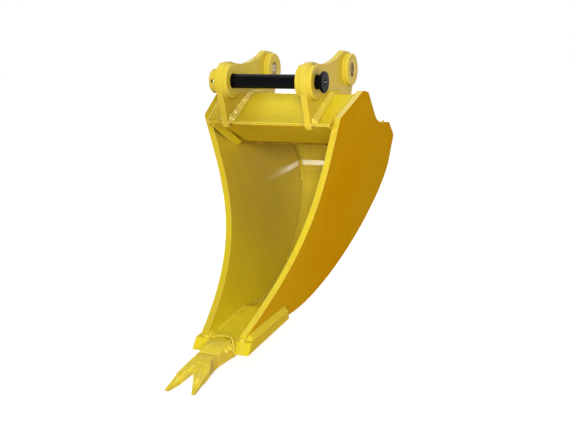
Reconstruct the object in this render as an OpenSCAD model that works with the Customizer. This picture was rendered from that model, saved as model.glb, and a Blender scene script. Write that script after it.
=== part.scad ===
// Trapezoidal ditch bucket with a single twin-pointed tooth.
// X runs along the pins, Y from the mouth to the back, Z up.
// The origin is the middle of the arm pin's axis. All sizes are in millimetres.

/* [Pins and ears] */
// Diameter of the arm pin and of the link pin
pin_d = 50; // [40:1:56]
// Distance from the arm pin back to the link eyes
eye_back = 362; // [330:1:400]
// Height of the link eyes above the arm pin
eye_up = 40; // [20:1:60]
// Clear width between the bosses, where the arm sits
arm_gap = 256; // [230:2:270]
// Thickness of an ear plate
ear_t = 22; // [16:1:26]
// Outer diameter of the bosses
boss_d = 118; // [108:1:126]
// How far a boss stands proud of the ear plate
boss_proud = 19; // [12:1:24]
// Radius of the ear plate round the arm pin
lobe_r = 66; // [64:1:72]
// Radius of the concave top edge of the ears
saddle_r = 480; // [400:10:600]
// Wall of the hardened bushes
bush_wall = 6; // [4:0.5:8]
// Radial running clearance between pin and bush
pin_clear = 0.06; // [0.03:0.01:0.1]
// Radial gap between a bush and its boss
bush_seat = 0.05; // [0.02:0.01:0.08]
// Chamfer at both mouths of a bush
bush_chamfer = 3; // [1:0.5:4]

/* [Arm pin] */
// How far the arm pin stands out of its home place
pin_out = 20; // [8:1:28]
// Gap between the pin's head and its boss when the pin is home
home_gap = 0.2; // [0.1:0.1:1]
// Diameter of the pin's head disc
head_d = 74; // [66:1:90]
// Thickness of the pin's head disc
head_t = 10; // [6:1:14]
// Outer diameter of the collar that holds the pin's far end
collar_d = 86; // [78:1:100]
// Length of the collar
collar_len = 36; // [32:1:44]
// Diameter of the retaining bolt's hole
bolt_d = 13; // [8:1:16]

/* [Side plates] */
// Half of the outer width at the level of the arm pin, if the sides ran up so far
half_w0 = 294; // [285:1:310]
// How much the half width falls for each millimetre down
side_lean = 0.26; // [0.24:0.005:0.27]
// Thickness of a side plate
side_t = 22; // [16:1:25]
// How far the side plates stand proud of the plates between them
side_proud = 5; // [2:1:10]
// How far the side plates reach past the curved back plate
heel_proud = 10; // [4:1:14]

/* [Back plate and lip] */
// Thickness of the curved back plate
wrap_t = 16; // [10:1:20]
// Thickness of the cutting edge
lip_t = 32; // [25:1:36]
// Outer width of the cutting edge
lip_w = 204; // [196:2:220]
// Length of the cutting edge from front to back
lip_len = 345; // [300:5:360]
// Slope of the cutting edge in degrees
lip_slope = 7.5; // [5:0.5:9]
// Place of the cutting edge's upper front edge, forward of the arm pin
lip_y = 346; // [330:1:360]
// Place of the cutting edge's upper front edge, below the arm pin
lip_z = 836; // [820:1:850]

/* [Back] */
// How far the curved back reaches behind the arm pin
back_y = 775; // [750:5:800]
// Depth of the back's widest place below the arm pin
back_z = 345; // [330:5:360]
// Depth of the curved back's lowest stretch below the arm pin
belly_z = 850; // [844:1:858]

/* [Torque box] */
// Thickness of the plates of the torque box
box_t = 12; // [8:1:16]
// Depth of the box's front edge below the arm pin
box_front_z = 147; // [140:1:155]
// Depth of the box's crest below the arm pin
crest_z = 47; // [42:1:56]
// Where the front slope ends at the crest
crest_y0 = 180; // [170:1:195]
// Where the rear slope starts at the crest
crest_y1 = 255; // [240:1:265]
// Depth of the shell's top behind the box
shell_top_z = 166; // [160:1:172]
// Where the rear slope meets the shell's top
shell_top_y0 = 440; // [425:1:455]
// Length from the end of the shell's top to the rearmost place of the back
slant_run = 149; // [140:1:158]
// Length from the slanted corner's lower end to the rearmost place of the back
slant_in = 35; // [30:1:40]
// Height of the slanted corner's lower end over the rearmost place of the back
slant_up = 121; // [114:1:128]
// Lower rear corner of the box, back from the arm pin
under_y = 240; // [225:1:255]
// Lower rear corner of the box, below the arm pin
under_z = 230; // [222:1:240]
// Width of the gusset bar in the left corner under the box
gusset_w = 28; // [22:1:34]
// Thickness of the gusset bar
gusset_t = 12; // [8:1:14]
// Distance of the gusset bar's middle from the side plate, at the box's front
gusset_in = 31; // [27:1:35]

/* [Tooth] */
// Downward tilt of the adapter and the tooth in degrees
tooth_pitch = 13; // [8:1:16]
// Width of the adapter at the lip
adapter_w = 92; // [88:1:100]
// Reach of the adapter's shoulder in front of the lip
shoulder_y = 92; // [86:1:98]
// Reach of the adapter's nose in front of the lip
nose_y = 150; // [146:1:154]
// Reach of the tooth's points in front of the lip
tooth_y = 288; // [270:1:300]
// Reach of the notch's root between the two points
crotch_y = 202; // [196:1:208]
// Half width of the tooth at its widest
tooth_half = 51; // [48:1:56]
// Width of one point at its end
point_w = 11; // [8:1:16]
// Gap between the nose and the tooth's socket
socket_gap = 0.8; // [0.4:0.1:1.2]
// Diameter of the tooth's lock pin
lock_d = 16; // [12:1:18]
// Radial clearance of the lock pin in its holes
lock_clear = 0.3; // [0.2:0.05:0.5]

/* [Hidden] */
$fn = 96;

paint = "gold";
shade = "goldenrod";
black = [0.08, 0.09, 0.11];
steel = "silver";

pin_r = pin_d / 2;
bush_ri = pin_r + pin_clear;
bush_ro = bush_ri + bush_wall;
boss_ri = bush_ro + bush_seat;
boss_r = boss_d / 2;
boss_in = arm_gap / 2;
ear_in = boss_in + boss_proud;
ear_out = ear_in + ear_t;
boss_out = ear_out + boss_proud;
eye = [eye_back, eye_up];
eye_lobe_r = lobe_r;

// Half width of the bucket, outside and between the side plates, at height z
function half_out(z) = half_w0 + side_lean * z;
function half_in(z) = half_out(z) - side_x;
side_x = side_t * sqrt(1 + side_lean * side_lean);
wide = 2 * half_w0 + 100;
far = 4 * half_w0 + 2 * back_y;
top_z = 200;
low_z = -belly_z - 5 * lip_t;

// Places on a cubic curve with two end points and two handles
curve_steps = 28;
function cubic(p, t) = pow(1 - t, 3) * p[0] + 3 * pow(1 - t, 2) * t * p[1]
    + 3 * (1 - t) * t * t * p[2] + pow(t, 3) * p[3];
function cubic_slope(p, t) = 3 * pow(1 - t, 2) * (p[1] - p[0])
    + 6 * (1 - t) * t * (p[2] - p[1]) + 3 * t * t * (p[3] - p[2]);
function beside(p, t, d) = let (s = cubic_slope(p, t), n = norm(s))
    cubic(p, t) + d * [-s[1], s[0]] / n;
function curve(p, d = 0) = [for (i = [0:curve_steps]) beside(p, i / curve_steps, d)];
function backwards(v) = [for (i = [len(v) - 1:-1:0]) v[i]];

// Rounds the corner b between the places a and c with radius r
corner_steps = 8;
function toward(a, b) = (b - a) / norm(b - a);
function corner(a, b, c, r) = let (
    u = toward(b, a), v = toward(b, c), half = acos(u * v) / 2,
    o = b + toward([0, 0], u + v) * r / sin(half),
    s = b + u * r / tan(half) - o, e = b + v * r / tan(half) - o,
    a0 = atan2(s[1], s[0]), turn = atan2(s[0] * e[1] - s[1] * e[0], s * e)
) [for (i = [0:corner_steps]) let (q = a0 + turn * i / corner_steps) o + r * [cos(q), sin(q)]];

// Cutting edge, in the side view
lip_dir = [cos(lip_slope), sin(lip_slope)];
lip_up = [-sin(lip_slope), cos(lip_slope)];
lip_front = [-lip_y, -lip_z];
lip_bevel = lip_t;
lip_run = lip_len - lip_bevel;
lip_rear = lip_front + lip_run * lip_dir;
lip_rear_low = lip_rear - lip_t * lip_up;
lip_tip = lip_front - lip_bevel * lip_dir - lip_t * lip_up;

// Mouth curve of the side plates, from the straight upper stretch down to the lip
mouth_straight = [44, -290];
mouth_low = lip_front + 12 * lip_dir + 20 * lip_up;
mouth_foot = lip_front + 10 * lip_dir;
mouth = [mouth_straight, [44, -447], [13, -620], mouth_low];

// Outer curve of the back, from the lip up to the widest place
heel_end = [back_y, -back_z];
heel = [lip_rear_low, [0.426 * back_y, -belly_z], heel_end - [0, 215], heel_end];
heel_corner = heel_end + [-slant_in, slant_up];
top_corner = [back_y - slant_run, -shell_top_z];

// Torque box, in the side view
front_edge = [0, -box_front_z];
crest0 = [crest_y0, -crest_z];
crest1 = [crest_y1, -crest_z];
box_foot = [shell_top_y0, -shell_top_z];
under_edge = [under_y, -under_z];
slope_dir = (crest0 - front_edge) / norm(crest0 - front_edge);
slope_up = [-slope_dir[1], slope_dir[0]];
under_dir = (under_edge - front_edge) / norm(under_edge - front_edge);
under_down = [under_dir[1], -under_dir[0]];
under_angle = atan2(under_dir[1], under_dir[0]);
under_len = norm(under_edge - front_edge);
front_miter = front_edge + (slope_dir + under_dir) * box_t
    / abs(slope_dir[0] * under_dir[1] - slope_dir[1] * under_dir[0]);
fall_dir = (box_foot - crest1) / norm(box_foot - crest1);
fall_up = [-fall_dir[1], fall_dir[0]];

// Top edge of the side plates: up the box's slope, over its crest and down to the shell's top
mouth_top = front_edge + 40 * slope_dir + side_proud * slope_up;
ridge0 = crest0 + [24, 13 + side_proud / 2];
ridge1 = crest1 + [12, side_proud + 2];
hollow = [shell_top_y0 + 26, -shell_top_z + side_proud + 3];

// Tooth and adapter, in their own frame at the middle of the cutting edge's front
tooth_at = lip_front - (lip_bevel * lip_dir + lip_t * lip_up) / 2;
lock_y = (shoulder_y + nose_y) / 2 + 2;
lock_len = 46;
lock_r = lock_d / 2;
lock_top = 26;

// Draws a side view, given as [back, up], across the width between two places
module across(x0, x1) {
    translate([x0, 0, 0]) rotate([90, 0, 90]) linear_extrude(x1 - x0) children();
}

// The leaning space between the two side plates, or one leaning plate
module between(grow = 0) {
    rotate([90, 0, 0]) linear_extrude(far, center = true) polygon([
        [-half_in(top_z) - grow, top_z], [half_in(top_z) + grow, top_z],
        [half_in(low_z) + grow, low_z], [-half_in(low_z) - grow, low_z]
    ]);
}

module leaning_plate(side) {
    rotate([90, 0, 0]) linear_extrude(far, center = true) polygon([
        [side * half_in(top_z), top_z], [side * half_out(top_z), top_z],
        [side * half_out(low_z), low_z], [side * half_in(low_z), low_z]
    ]);
}

// Side plates
side_outline = concat(
    [mouth_foot, mouth_low], backwards(curve(mouth)),
    corner(mouth_straight, mouth_top, ridge0, 8), corner(mouth_top, ridge0, ridge1, 40),
    corner(ridge0, ridge1, hollow, 34), corner(ridge1, hollow, top_corner, 240),
    corner(hollow, top_corner, heel_corner, 30), corner(top_corner, heel_corner, heel_end, 40),
    backwards(curve(heel)), [lip_rear]
);

module side_plate(side) {
    color(side < 0 ? shade : paint) intersection() {
        leaning_plate(side);
        across(-wide, wide) polygon(side_outline);
    }
}

module side_plate_left() { side_plate(-1); }
module side_plate_right() { side_plate(1); }

// Curved back plate, let in between the side plates
module wrap_plate() {
    color(shade) intersection() {
        between();
        across(-wide, wide) polygon(concat(
            curve(heel, heel_proud), [heel_corner + [-heel_proud, -heel_proud / 2]],
            [heel_corner + [-heel_proud - wrap_t, -heel_proud / 2 - wrap_t / 2]],
            backwards(curve(heel, heel_proud + wrap_t))
        ));
    }
}

// Flat top of the shell, from the torque box to the back plate
module shell_top_plate() {
    color(shade) intersection() {
        between();
        across(-wide, wide) polygon([
            box_foot, top_corner + [-4, -side_proud],
            heel_corner + [-heel_proud, -heel_proud / 2],
            heel_corner + [-heel_proud - wrap_t, -heel_proud / 2 - wrap_t / 2],
            top_corner + [-10, -side_proud - wrap_t], box_foot + [0, -wrap_t]
        ]);
    }
}

// Thick cutting edge, bevelled at the front and wider than the shell
module cutting_edge() {
    color(paint) across(-lip_w / 2, lip_w / 2)
        polygon([lip_front, lip_rear, lip_rear_low, lip_tip]);
}

// Torque box under the ears
module box_top_plate() {
    color("yellow") intersection() {
        between();
        across(-wide, wide) polygon([
            front_edge, crest0, crest1, box_foot, box_foot - [box_t, 0],
            crest1 - box_t * fall_up - [2, 2], crest0 - box_t * slope_up + [2, -2],
            front_miter
        ]);
    }
}

module box_under_plate() {
    color(shade) intersection() {
        between();
        across(-wide, wide) polygon([
            front_edge, front_miter, under_edge - box_t * under_down, under_edge
        ]);
    }
}

module box_rear_plate() {
    color(shade) intersection() {
        between();
        across(-wide, wide) polygon([
            under_edge, under_edge - box_t * under_down,
            box_foot - [box_t, 0], box_foot, box_foot - [0, wrap_t]
        ]);
    }
}

gusset_front = front_edge + [4, -5];
gusset_rear = front_edge + [0.825 * under_y, -0.4 * under_z];
gusset_len = norm(gusset_rear - gusset_front);
gusset_fall = atan2(gusset_front[1] - gusset_rear[1], gusset_rear[0] - gusset_front[0]);
gusset_roll = 44;

// A flat bar, turned to face the corner, from under the box's front edge to the side plate
module corner_gusset_left() {
    color(paint) intersection() {
        between();
        across(-wide, wide) polygon([
            front_edge, under_edge, under_edge - [0, under_z], front_edge - [0, under_z]
        ]);
        translate([gusset_in - half_in(front_edge[1]), gusset_front[0], gusset_front[1]])
            rotate([-gusset_roll, gusset_fall, 90])
            translate([0, -gusset_w / 2, 0]) cube([gusset_len, gusset_w, gusset_t]);
    }
}

// Ears
ear_outline = concat(
    [[0, lobe_r]], corner([0, lobe_r], eye + [-44, 70], eye + [-8, 66], 12),
    [
        eye + [-8, 66], eye + [26, 58], eye + [eye_lobe_r, 0], eye + [58, -54],
        eye + [42, -90], [eye[0] + 32, -crest_z - 90], crest1, crest0, front_edge,
        front_edge + 34 * under_dir, front_edge + 28 * under_dir + 9 * under_down,
        front_edge + 6 * under_dir + 15 * under_down, front_edge + [-7, -5],
        [-15, -box_front_z + 20], [-lobe_r * sin(50), -lobe_r * cos(50)]
    ]
);

module ear(side) {
    x0 = side < 0 ? -ear_out : ear_in;
    color(paint) difference() {
        union() {
            across(x0, x0 + ear_t) circle(lobe_r);
            across(x0, x0 + ear_t) translate(eye) circle(eye_lobe_r);
            across(x0, x0 + ear_t) polygon(ear_outline);
        }
        // Concave top edge
        across(-wide, wide) translate([105, saddle_r + lobe_r - 6]) circle(saddle_r);
        // The torque box stands here
        across(-wide, wide) polygon([
            front_edge, crest0, crest1, box_foot, [shell_top_y0, -box_front_z - 200], under_edge
        ]);
        across(-wide, wide) circle(boss_r);
        across(-wide, wide) translate(eye) circle(boss_r);
    }
}

module ear_left() { ear(-1); }
module ear_right() { ear(1); }

// A ring along X between two places, at [back, up], with chamfered outer edges
module ring(x0, x1, ro, ri, at, edge = 2) {
    translate([x0, at[0], at[1]]) rotate([90, 0, 90]) rotate_extrude($fn = 128) polygon([
        [ri, 0], [ro - edge, 0], [ro, edge], [ro, x1 - x0 - edge],
        [ro - edge, x1 - x0], [ri, x1 - x0]
    ]);
}

module boss_with_grease_hole(x0, x1, at, hole_x) {
    difference() {
        ring(x0, x1, boss_r, boss_ri, at);
        translate([hole_x, at[0], at[1]]) rotate([nipple_tilt, 0, 0])
            translate([0, 0, boss_r - nipple_seat]) cylinder(r = nipple_r, h = 20);
    }
}

nipple_r = 5;
nipple_seat = 4;
nipple_tilt = 8;
nipple_x = ear_out + boss_proud / 2;

module front_boss_left() {
    color(paint) ring(-ear_out, -boss_in, boss_r, boss_ri, [0, 0]);
}
module front_boss_right() {
    color(paint) boss_with_grease_hole(boss_in, boss_out, [0, 0], nipple_x);
}
module rear_boss_left() {
    color(paint) boss_with_grease_hole(-boss_out, -boss_in, eye, -nipple_x);
}
module rear_boss_right() {
    color(paint) ring(boss_in, boss_out, boss_r, boss_ri, eye);
}

// A hardened bush with a chamfered mouth at each end
module bush(x0, x1, at) {
    translate([x0, at[0], at[1]]) rotate([90, 0, 90]) rotate_extrude($fn = 128) polygon([
        [bush_ri + bush_chamfer, 0], [bush_ro, 0], [bush_ro, x1 - x0],
        [bush_ri + bush_chamfer, x1 - x0], [bush_ri, x1 - x0 - bush_chamfer],
        [bush_ri, bush_chamfer]
    ]);
}

module front_bush_left() { color(steel) bush(-ear_out, -boss_in, [0, 0]); }
module front_bush_right() { color(steel) bush(boss_in, boss_out, [0, 0]); }
module rear_bush_left() { color(steel) bush(-boss_out, -boss_in, eye); }
module rear_bush_right() { color(steel) bush(boss_in, boss_out, eye); }

// Collar for the pin's far end, with the retaining bolt's hole
bolt_x = -ear_out - collar_len * 0.6;
module pin_collar() {
    color(paint) difference() {
        ring(-ear_out - collar_len, -ear_out, collar_d / 2, bush_ri, [0, 0], 3);
        translate([bolt_x, 0, 0]) rotate([90, 0, 0])
            cylinder(r = bolt_d / 2, h = 2 * collar_d, center = true);
    }
}

// Arm pin, shown standing out of its home place by pin_out
pin_x1 = boss_out + pin_out;
pin_x0 = -ear_out - collar_len + pin_out;
module arm_pin() {
    edge = 4;
    color(black) difference() {
        translate([pin_x0, 0, 0]) rotate([90, 0, 90]) rotate_extrude($fn = 128) polygon([
            [0, 0], [pin_r - edge, 0], [pin_r, edge], [pin_r, pin_x1 - pin_x0],
            [0, pin_x1 - pin_x0]
        ]);
        translate([bolt_x + pin_out - home_gap, 0, 0]) rotate([90, 0, 0])
            cylinder(r = bolt_d / 2, h = pin_d + 2, center = true);
    }
}

nipple_recess_r = 9;
nipple_recess = 6;
module arm_pin_head() {
    color(black) difference() {
        ring(pin_x1, pin_x1 + head_t, head_d / 2, 0, [0, 0], 1.5);
        translate([pin_x1 + head_t - nipple_recess, 0, 0]) rotate([0, 90, 0])
            cylinder(r = nipple_recess_r, h = nipple_recess + 1);
    }
}

// Grease nipples: a hexagon with a ball end
module nipple() {
    cylinder(r = nipple_r - 0.2, h = 3, $fn = 6);
    cylinder(r = 2.4, h = 6);
    translate([0, 0, 6]) cylinder(r1 = 3, r2 = 2.2, h = 2.5);
}

module pin_grease_nipple() {
    color(steel) translate([pin_x1 + head_t - nipple_recess, 0, 0]) rotate([0, 90, 0]) nipple();
}
module nipple_on_boss(x, at) {
    color(steel) translate([x, at[0], at[1]]) rotate([nipple_tilt, 0, 0])
        translate([0, 0, boss_r - nipple_seat]) nipple();
}
module boss_grease_nipple_left() { nipple_on_boss(-nipple_x, eye); }
module boss_grease_nipple_right() { nipple_on_boss(nipple_x, [0, 0]); }

// Tooth frame: -Y forward along the tooth, +Z up from it
module at_tooth() {
    translate([0, tooth_at[0], tooth_at[1]]) rotate([tooth_pitch, 0, 0]) children();
}

// Nose of the adapter, or the socket for it when it is grown
module nose(grow = 0) {
    k = shoulder_y / 92;
    root = shoulder_y - (grow > 0 ? 4 : 0);
    tip = nose_y + grow;
    intersection() {
        across(-wide, wide) polygon([
            [-root, 16 * k + grow], [-root, -14 * k - grow], [-tip, -5 * k - grow],
            [-tip, 8 * k + grow]
        ]);
        translate([0, 0, -lip_w]) linear_extrude(2 * lip_w) polygon([
            [-25 * k - grow, -root], [-21 * k - grow, -tip], [21 * k + grow, -tip],
            [25 * k + grow, -root]
        ]);
    }
}

// Adapter: a humped body on the cutting edge's bevel, with a strap under it and a nose in front
module tooth_adapter() {
    half = adapter_w / 2;
    k = shoulder_y / 92;
    color(paint) difference() {
        at_tooth() union() {
            intersection() {
                across(-half, half) polygon(k * [
                    [30, 16], [20, 21], [-14, 28], [-55, 29], [-92, 23], [-92, -19], [-60, -24],
                    [0, -31], [52, -36], [64, -30], [70, -24], [40, 0]
                ]);
                translate([0, 0, -60]) linear_extrude(120) polygon(concat(
                    [[half, 80 * k], [-half, 80 * k], [-half, -8 * k]],
                    k * [[-40, -40], [-35, -92], [35, -92], [40, -40]], [[half, -8 * k]]
                ));
                rotate([90, 0, 0]) linear_extrude(far, center = true) polygon([
                    [-half, -60 * k], [half, -60 * k], [half, 4 * k], [29 * k, 30 * k],
                    [-29 * k, 30 * k], [-half, 4 * k]
                ]);
                // Round rear end of the upper strap, above the cutting edge
                union() {
                    translate([0, -22 * k, 0]) cylinder(r = half + 1, h = 60 * k);
                    translate([-half, -120 * k, -60 * k]) cube([adapter_w, 98 * k, 120 * k]);
                    translate([-half, -120 * k, -60 * k]) cube([adapter_w, 220 * k, 60 * k]);
                }
            }
            nose();
        }
        // The cutting edge sits in the adapter's jaw
        across(-lip_w, lip_w) polygon([
            lip_front, lip_rear, lip_rear_low, lip_tip
        ]);
        at_tooth() translate([0, -lock_y, 0])
            cylinder(r = lock_r + lock_clear, h = 120, center = true);
    }
}

// Plan of the tooth, from the socket to the two points
tooth_side = [
    [34, -shoulder_y], [31, -120], [36, -143], [tooth_half - 6, -166], [tooth_half - 2, -192],
    [tooth_half - 3, -tooth_y + 54], [tooth_half, -tooth_y],
    [tooth_half - point_w, -tooth_y], [24, -crotch_y - 43], [10, -crotch_y - 13],
    [3, -crotch_y]
];
tooth_plan = concat(tooth_side, [for (p = backwards(tooth_side)) [-p[0], p[1]]]);

module twin_tooth() {
    color(paint) difference() {
        at_tooth() difference() {
            intersection() {
                across(-80, 80) polygon([
                    [-shoulder_y, 23], [-shoulder_y - 16, 27], [-150, 26], [-180, 21],
                    [-230, 10], [-tooth_y, -1], [-tooth_y, -7], [-218, -7], [-172, -6],
                    [-154, -12], [-136, -20], [-shoulder_y, -21]
                ]);
                translate([0, 0, -60]) linear_extrude(120) polygon(tooth_plan);
                // Sloping shoulders
                rotate([90, 0, 0]) linear_extrude(far, center = true) polygon([
                    [-tooth_half - 4, -60], [tooth_half + 4, -60], [tooth_half + 4, 8],
                    [tooth_half - 20, 28], [20 - tooth_half, 28], [-tooth_half - 4, 8]
                ]);
            }
            // The points are thin along the notch between them
            intersection() {
                rotate([90, 0, 0]) linear_extrude(far, center = true) polygon([
                    [-27, -9], [0, 8], [27, -9], [27, -60], [-27, -60]
                ]);
                across(-60, 60) polygon([
                    [-crotch_y + 34, -9], [-crotch_y + 16, 9], [-tooth_y - 20, 9],
                    [-tooth_y - 20, -60], [-crotch_y + 34, -60]
                ]);
            }
            nose(socket_gap);
            translate([0, -lock_y, 0]) cylinder(r = lock_r + lock_clear, h = 120, center = true);
        }
    }
}

// Split lock pin that drives in from above, with a rubber strip between its halves
rubber_w = 5;
module lock_shape(grow = 0) {
    cylinder(r = lock_r + grow, h = lock_len, $fn = 64);
}
module tooth_lock_pin() {
    color([0.3, 0.3, 0.32]) at_tooth() translate([0, -lock_y, lock_top - lock_len]) difference() {
        lock_shape();
        translate([-rubber_w / 2, -lock_r, 8]) cube([rubber_w, lock_d, lock_len - 16]);
    }
}
module lock_pin_rubber() {
    color([0.12, 0.12, 0.12]) at_tooth() translate([0, -lock_y, lock_top - lock_len]) intersection() {
        cylinder(r = lock_r - 0.5, h = lock_len, $fn = 64);
        translate([-rubber_w / 2, -lock_r, 8]) cube([rubber_w, lock_d, lock_len - 16]);
    }
}

side_plate_left();
side_plate_right();
wrap_plate();
shell_top_plate();
cutting_edge();
box_top_plate();
box_under_plate();
box_rear_plate();
corner_gusset_left();
ear_left();
ear_right();
front_boss_left();
front_boss_right();
rear_boss_left();
rear_boss_right();
front_bush_left();
front_bush_right();
rear_bush_left();
rear_bush_right();
pin_collar();
arm_pin();
arm_pin_head();
pin_grease_nipple();
boss_grease_nipple_left();
boss_grease_nipple_right();
tooth_adapter();
twin_tooth();
tooth_lock_pin();
lock_pin_rubber();
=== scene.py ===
"""Trapezoidal ditch bucket, dressed for rendering on its CAD frame."""

import math

import bpy
from mathutils import Matrix, Vector, noise


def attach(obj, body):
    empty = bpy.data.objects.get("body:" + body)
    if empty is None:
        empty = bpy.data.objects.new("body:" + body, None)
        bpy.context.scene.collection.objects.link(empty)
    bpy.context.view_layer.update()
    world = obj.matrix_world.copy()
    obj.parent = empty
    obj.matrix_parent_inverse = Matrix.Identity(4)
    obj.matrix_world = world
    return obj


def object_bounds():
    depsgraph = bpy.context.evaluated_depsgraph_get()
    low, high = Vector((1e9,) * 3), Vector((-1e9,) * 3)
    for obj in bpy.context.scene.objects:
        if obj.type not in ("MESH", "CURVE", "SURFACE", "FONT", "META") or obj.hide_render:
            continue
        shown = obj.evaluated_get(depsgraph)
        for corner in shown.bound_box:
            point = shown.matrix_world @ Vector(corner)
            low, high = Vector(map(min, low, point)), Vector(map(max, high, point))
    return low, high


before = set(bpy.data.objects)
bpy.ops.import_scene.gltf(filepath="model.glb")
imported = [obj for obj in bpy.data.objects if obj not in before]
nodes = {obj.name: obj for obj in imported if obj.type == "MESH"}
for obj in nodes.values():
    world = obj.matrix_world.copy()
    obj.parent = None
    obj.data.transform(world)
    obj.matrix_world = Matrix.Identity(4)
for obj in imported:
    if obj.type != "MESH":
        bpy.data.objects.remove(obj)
cad_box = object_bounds()
scene = bpy.context.scene
MM = 0.001

# Camera, fitted to the photograph: degrees, metres and pixels
CAMERA_AZ, CAMERA_EL, CAMERA_ROLL = 23.14, 8.56, 0.21
CAMERA_PLACE = (1.4348, -3.1914, 0.0669)
FOCAL_PIXELS, PHOTO_PIXELS, SENSOR_MM = 1000, 570, 36


def place_camera():
    """The camera at the photograph's viewpoint, with its framing."""
    az, el, roll = (math.radians(a) for a in (CAMERA_AZ, CAMERA_EL, CAMERA_ROLL))
    towards = Vector((-math.sin(az) * math.cos(el), math.cos(az) * math.cos(el), -math.sin(el)))
    camera = bpy.data.objects.new("camera", bpy.data.cameras.new("camera"))
    scene.collection.objects.link(camera)
    camera.location = CAMERA_PLACE
    camera.rotation_mode = "QUATERNION"
    rolled = Matrix.Rotation(roll, 3, "Z").to_quaternion()
    camera.rotation_quaternion = towards.to_track_quat("-Z", "Y") @ rolled
    camera.data.sensor_width = SENSOR_MM
    camera.data.lens = FOCAL_PIXELS / PHOTO_PIXELS * SENSOR_MM
    camera.data.clip_start, camera.data.clip_end = 0.05, 60
    scene.camera = camera
    scene.view_settings.view_transform = "Standard"


place_camera()


# Node helpers
def material(name):
    """A new material with one Principled shader."""
    mat = bpy.data.materials.new(name)
    mat.use_nodes = True
    tree = mat.node_tree
    tree.nodes.clear()
    out = tree.nodes.new("ShaderNodeOutputMaterial")
    shader = tree.nodes.new("ShaderNodeBsdfPrincipled")
    tree.links.new(shader.outputs[0], out.inputs[0])
    return mat, tree, shader


def put(tree, kind, inputs=None, **props):
    """A new node. Its inputs are given as numbers, or as the sockets that feed them."""
    node = tree.nodes.new(kind)
    for key, value in props.items():
        setattr(node, key, value)
    for key, value in (inputs or {}).items():
        feed(tree, node.inputs[key], value)
    return node


def feed(tree, socket, value):
    """Links a socket into an input, or sets the input to a value."""
    if isinstance(value, bpy.types.NodeSocket):
        tree.links.new(value, socket)
    else:
        socket.default_value = value


def maths(tree, kind, *values):
    """A number worked out from numbers."""
    return put(tree, "ShaderNodeMath", dict(enumerate(values)), operation=kind).outputs[0]


def product(tree, first, *others):
    """Several amounts multiplied with each other."""
    for other in others:
        first = maths(tree, "MULTIPLY", first, other)
    return first


def vector_maths(tree, kind, *values):
    """The outputs of a vector node: 0 is its vector, "Value" its number."""
    return put(tree, "ShaderNodeVectorMath", dict(enumerate(values)), operation=kind).outputs


def place_of(tree):
    """The place on the bucket, in metres."""
    return put(tree, "ShaderNodeTexCoord").outputs["Object"]


def facing_of(tree):
    """The way the surface faces on the bucket."""
    return put(tree, "ShaderNodeTexCoord").outputs["Normal"]


def along(tree, vector, axis):
    """One of a vector's numbers: 0 across the bucket, 1 backwards, 2 up."""
    return put(tree, "ShaderNodeSeparateXYZ", {0: vector}).outputs[axis]


def noise_of(tree, where, scale, detail, rough, stretch=None):
    """Noise with about `scale` spots to the metre. A stretch below 1 draws them out along that axis."""
    if stretch:
        where = put(tree, "ShaderNodeMapping", {"Vector": where, "Scale": stretch}).outputs[0]
    return put(tree, "ShaderNodeTexNoise", {"Vector": where, "Scale": scale, "Detail": detail,
                                            "Roughness": rough}).outputs["Fac"]


def ramp(tree, value, lo, hi, a=0.0, b=1.0):
    """Runs from a to b while the value runs from lo to hi."""
    return put(tree, "ShaderNodeMapRange", {"Value": value, "From Min": lo, "From Max": hi,
                                            "To Min": a, "To Max": b}, clamp=True).outputs[0]


def mix(tree, factor, a, b):
    """Colour a where the factor is 0, colour b where it is 1."""
    node = tree.nodes.new("ShaderNodeMix")
    node.data_type = "RGBA"
    for socket, value in ((0, factor), (6, a), (7, b)):
        feed(tree, node.inputs[socket], value)
    return node.outputs[2]


def bump(tree, height, distance, strength, normal=None):
    """Relief up to a distance in metres, laid over another relief's normal where one is given."""
    node = put(tree, "ShaderNodeBump", {"Height": height, "Distance": distance, "Strength": strength})
    if normal is not None:
        tree.links.new(normal, node.inputs["Normal"])
    return node.outputs[0]


def srgb(r, g, b):
    """A colour given as 0 to 255 screen values, as linear light."""
    made = []
    for c in (r, g, b):
        c = c / 255
        made.append(c / 12.92 if c <= 0.04045 else ((c + 0.055) / 1.055) ** 2.4)
    return (*made, 1.0)


# Colours
YELLOW = srgb(225, 207, 30)
AMBER = srgb(221, 196, 24)
# Olive for patches, and the colour of the painted shade on the left plate's edges
OLIVE = srgb(206, 186, 38)
# Pale for patches, runs and worn edges, and the colour of painted highlights on edges and welds
PALE = srgb(242, 226, 116)
# Grime for specks and soil, and the colour of the painted shade in corners
GRIME_AND_SHADE = srgb(128, 98, 20)
DUSTY = srgb(214, 188, 88)
# Painted shade: the side plates' outer faces are tinted with these two oranges
DEEP_SHADE_ORANGE = srgb(222, 180, 26)
RUSTY_SHADE_ORANGE = srgb(224, 168, 4)
# Painted shade of the bucket's upper left corner
CORNER_SHADE = srgb(176, 152, 36)
# Painted shadow: the dark brown of the seam under the torque box's rear edge
SHADOW_BROWN = srgb(122, 94, 26)
PIN_BLACK, PIN_WORN, PIN_DUST = srgb(2, 2, 4), srgb(8, 9, 14), srgb(66, 66, 64)
BORE_STEEL, ZINC, LOCK_STEEL = srgb(222, 214, 196), srgb(120, 120, 122), srgb(206, 182, 56)
STAIN = srgb(120, 104, 78)
RUBBER, RUBBER_WORN = srgb(22, 22, 22), srgb(46, 45, 42)

# Places that the paint goes by, in metres
BOWL_MIDDLE = (0, 0.3, -0.42)
# The middle of the upper left corner's painted shade
LEFT_CORNER = (-0.25, 0.06, -0.12)


# Where on a wall the paint is
def plate_side(tree):
    """Near 1 on a side plate's outer face, near -1 on its face inside the bucket, near 0 on its edges."""
    half = maths(tree, "SIGN", along(tree, place_of(tree), 0))
    return product(tree, half, along(tree, facing_of(tree), 0))


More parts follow.
